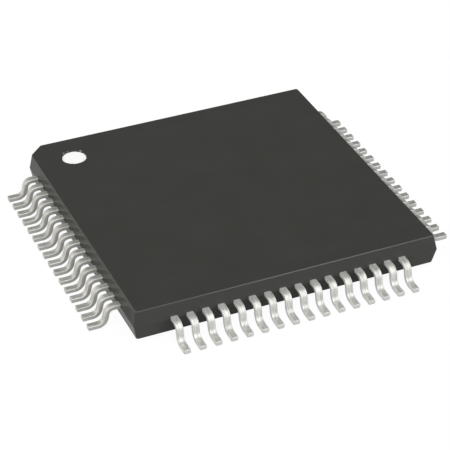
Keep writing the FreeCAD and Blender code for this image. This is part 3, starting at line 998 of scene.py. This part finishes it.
hiddenFinishes = {
    "die": siliconFinish(),
    "die_attach": patchyFinish("silverFilledAdhesive", adhesiveLook, Metallic=0.6),
    "die_pad": patchyFinish("bareCopperSheet", copperLook, Metallic=1.0),
}
for nodeName, material in hiddenFinishes.items():
    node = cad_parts[nodeName]
    node.data.materials.clear()
    node.data.materials.append(material)
print("inner pieces finished")


# Floor, backdrop, lamps and camera

studio = {
    "floorHalf": 400,
    "floorHeight": -0.004,  # just under the feet
    "floorTone": (0.46, 0.46, 0.46),
    "shadowShare": 0.12,  # how much of the floor's real shading the camera sees
    "gleamShare": 0.7,  # and how much of it shows in the metal
    "whiteLevel": 1.08,
}


def makeFloor():
    half = studio["floorHalf"] * metresPerMm
    low = studio["floorHeight"] * metresPerMm
    corners = [(-half, -half, low), (half, -half, low), (half, half, low), (-half, half, low)]
    mesh = bpy.data.meshes.new("studioFloor")
    mesh.from_pydata(corners, [], [(0, 1, 2, 3)])
    floor = addObject("studioFloor", mesh)
    material = bpy.data.materials.new("paleFloor")
    tree = emptyTree(material)
    paper = addNode(tree, "BsdfDiffuse", {"Color": (*studio["floorTone"], 1)})["BSDF"]
    white = addNode(tree, "Emission", {"Strength": studio["whiteLevel"]})["Emission"]
    ray = addNode(tree, "LightPath", {})
    seen = maths(tree, "MAXIMUM", ray["Is Camera Ray"], ray["Is Transmission Ray"])
    gleam = maths(tree, "MULTIPLY", ray["Is Glossy Ray"], 1 - studio["gleamShare"])
    share = maths(tree, "MULTIPLY_ADD", seen, 1 - studio["shadowShare"], gleam)
    mixed = addNode(tree, "MixShader", {0: share, 1: paper, 2: white})["Shader"]
    addNode(tree, "OutputMaterial", {"Surface": mixed})
    mesh.materials.append(material)


# How bright the room is towards each quarter, near the horizon and high up
room = {
    "low": {"backRight": 0.15, "backLeft": 0.34, "frontRight": 1.15, "frontLeft": 0.50},
    "high": {"backRight": 0.11, "backLeft": 0.24, "frontRight": 1.50, "frontLeft": 2.20},
    "riseFrom": 0.22,
    "riseTo": 0.50,
}


# The backdrop: the squares of the direction's two level parts, turned by an eighth, share the
# light out between the four quarters, and the height blends the low values into the high ones.
def makeBackdrop():
    world = bpy.data.worlds.new("studioRoom")
    bpy.context.scene.world = world
    tree = emptyTree(world)

    def choose(amount, whenNone, whenFull):
        sockets = {"Factor": amount, "A": whenNone, "B": whenFull}
        return addNode(tree, "Mix", sockets)["Result"]

    towards = addNode(tree, "TexCoord", {})["Generated"]
    flat = addNode(tree, "VectorMath", {0: towards, 1: (1, 1, 0)}, operation="MULTIPLY")["Vector"]
    level = addNode(tree, "VectorMath", {0: flat}, operation="NORMALIZE")["Vector"]
    sockets = {"Vector": level, "Angle": math.radians(45)}
    turned = addNode(tree, "VectorRotate", sockets, rotation_type="Z_AXIS")["Vector"]
    parts = addNode(tree, "SeparateXYZ", {"Vector": turned})
    height = addNode(tree, "SeparateXYZ", {"Vector": towards})["Z"]
    # Turned by 45 degrees, back right lies along +y, back left along -x.
    squareX = maths(tree, "MULTIPLY", parts["X"], parts["X"])
    squareY = maths(tree, "MULTIPLY", parts["Y"], parts["Y"])
    isRight = maths(tree, "GREATER_THAN", parts["X"], 0)
    isBack = maths(tree, "GREATER_THAN", parts["Y"], 0)
    bands = []
    for tones in (room["low"], room["high"]):
        alongX = choose(isRight, tones["backLeft"], tones["frontRight"])
        alongY = choose(isBack, tones["frontLeft"], tones["backRight"])
        bands.append(maths(tree, "ADD", maths(tree, "MULTIPLY", alongX, squareX),
                           maths(tree, "MULTIPLY", alongY, squareY)))
    sockets = {"Value": height, "From Min": room["riseFrom"], "From Max": room["riseTo"]}
    rise = addNode(tree, "MapRange", sockets, interpolation_type="SMOOTHSTEP")["Result"]
    light = addNode(tree, "Background", {"Strength": choose(rise, *bands)})["Background"]
    addNode(tree, "OutputWorld", {"Surface": light})


lamps = {
    "keyLamp": {"place": (116, -190, 250), "width": 320, "power": 0.25, "tint": (1, 1, 1)},
    "fillLamp": {"place": (-240, 130, 160), "width": 300, "power": 0.33, "tint": (1, 0.98, 0.86)},
}


def makeLamps():
    for name, lampSizes in lamps.items():
        light = bpy.data.lights.new(name, "AREA")
        light.shape = "SQUARE"
        light.size = lampSizes["width"] * metresPerMm
        light.energy = lampSizes["power"]
        light.color = lampSizes["tint"]
        lamp = addObject(name, light)
        lamp.location = Vector(lampSizes["place"]) * metresPerMm
        lamp.rotation_mode = "QUATERNION"
        lamp.rotation_quaternion = (-lamp.location).to_track_quat("-Z", "Y")


view = {
    "place": (-19.7137, -45.4750, 33.4108),
    "yaw": 0.40987,  # radians, clockwise from the back
    "pitch": 0.59635,  # radians, downwards
    "roll": -0.00135,
    "lens": 149.035,
    "sensor": 36,
    "nearest": 5,  # only what lies between these distances is drawn
    "farthest": 5000,
}


def makeCamera():
    camera = bpy.data.cameras.new("studioCamera")
    camera.lens = view["lens"]
    camera.sensor_width = view["sensor"]
    camera.clip_start = view["nearest"] * metresPerMm
    camera.clip_end = view["farthest"] * metresPerMm
    holder = addObject("studioCamera", camera)
    yaw, pitch, roll = view["yaw"], view["pitch"], view["roll"]
    forward = Vector((math.sin(yaw) * math.cos(pitch), math.cos(yaw) * math.cos(pitch),
                      -math.sin(pitch)))
    level = Vector((math.cos(yaw), -math.sin(yaw), 0))
    upright = level.cross(forward)
    right = level * math.cos(roll) + upright * math.sin(roll)
    up = upright * math.cos(roll) - level * math.sin(roll)
    matrix = Matrix((right, up, -forward)).transposed().to_4x4()
    matrix.translation = Vector(view["place"]) * metresPerMm
    holder.matrix_world = matrix
    bpy.context.scene.camera = holder


makeFloor()
makeBackdrop()
makeLamps()
makeCamera()
bpy.context.scene.view_settings.view_transform = "Standard"
print("studio ready")
